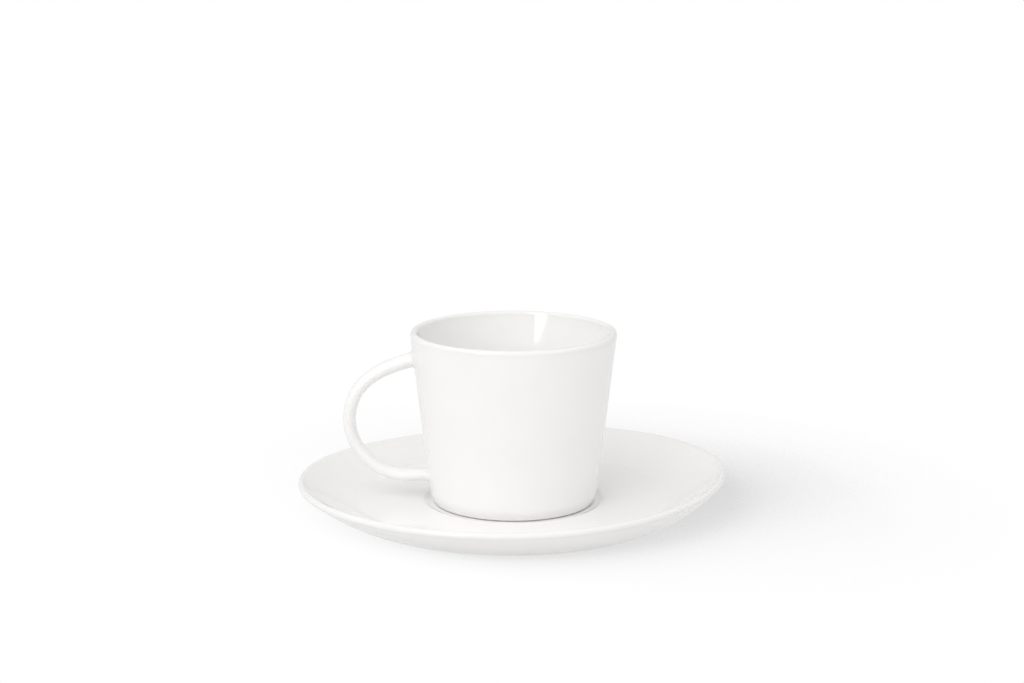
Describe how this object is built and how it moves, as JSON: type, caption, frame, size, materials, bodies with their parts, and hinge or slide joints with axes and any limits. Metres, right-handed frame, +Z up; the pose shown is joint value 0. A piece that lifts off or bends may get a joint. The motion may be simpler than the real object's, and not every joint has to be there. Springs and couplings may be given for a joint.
{
  "type": "cup with saucer",
  "caption": "White porcelain cup, a tapering beaker with a slim loop handle, standing in the round well of an uneven oval saucer; the cup lifts off.",
  "frame": {"origin": "on the table under the middle of the saucer, on the cup's axis", "axes": "+Z up along the cup's axis, -X towards the handle, +X along the saucer's longer side"},
  "size_m": [0.1722, 0.162, 0.0762],
  "materials": {
    "saucer_porcelain": "gloss",
    "cup_porcelain": "gloss"
  },
  "bodies": {
    "saucer": {"saucer": "saucer_porcelain"},
    "cup": {"cup_body": "cup_porcelain", "handle": "cup_porcelain"}
  },
  "joints": [
    {"name": "cup_lift", "type": "slide", "parent": "saucer", "child": "cup", "axis": [0, 0, 1], "range_m": [0, 0.12]}
  ]
}
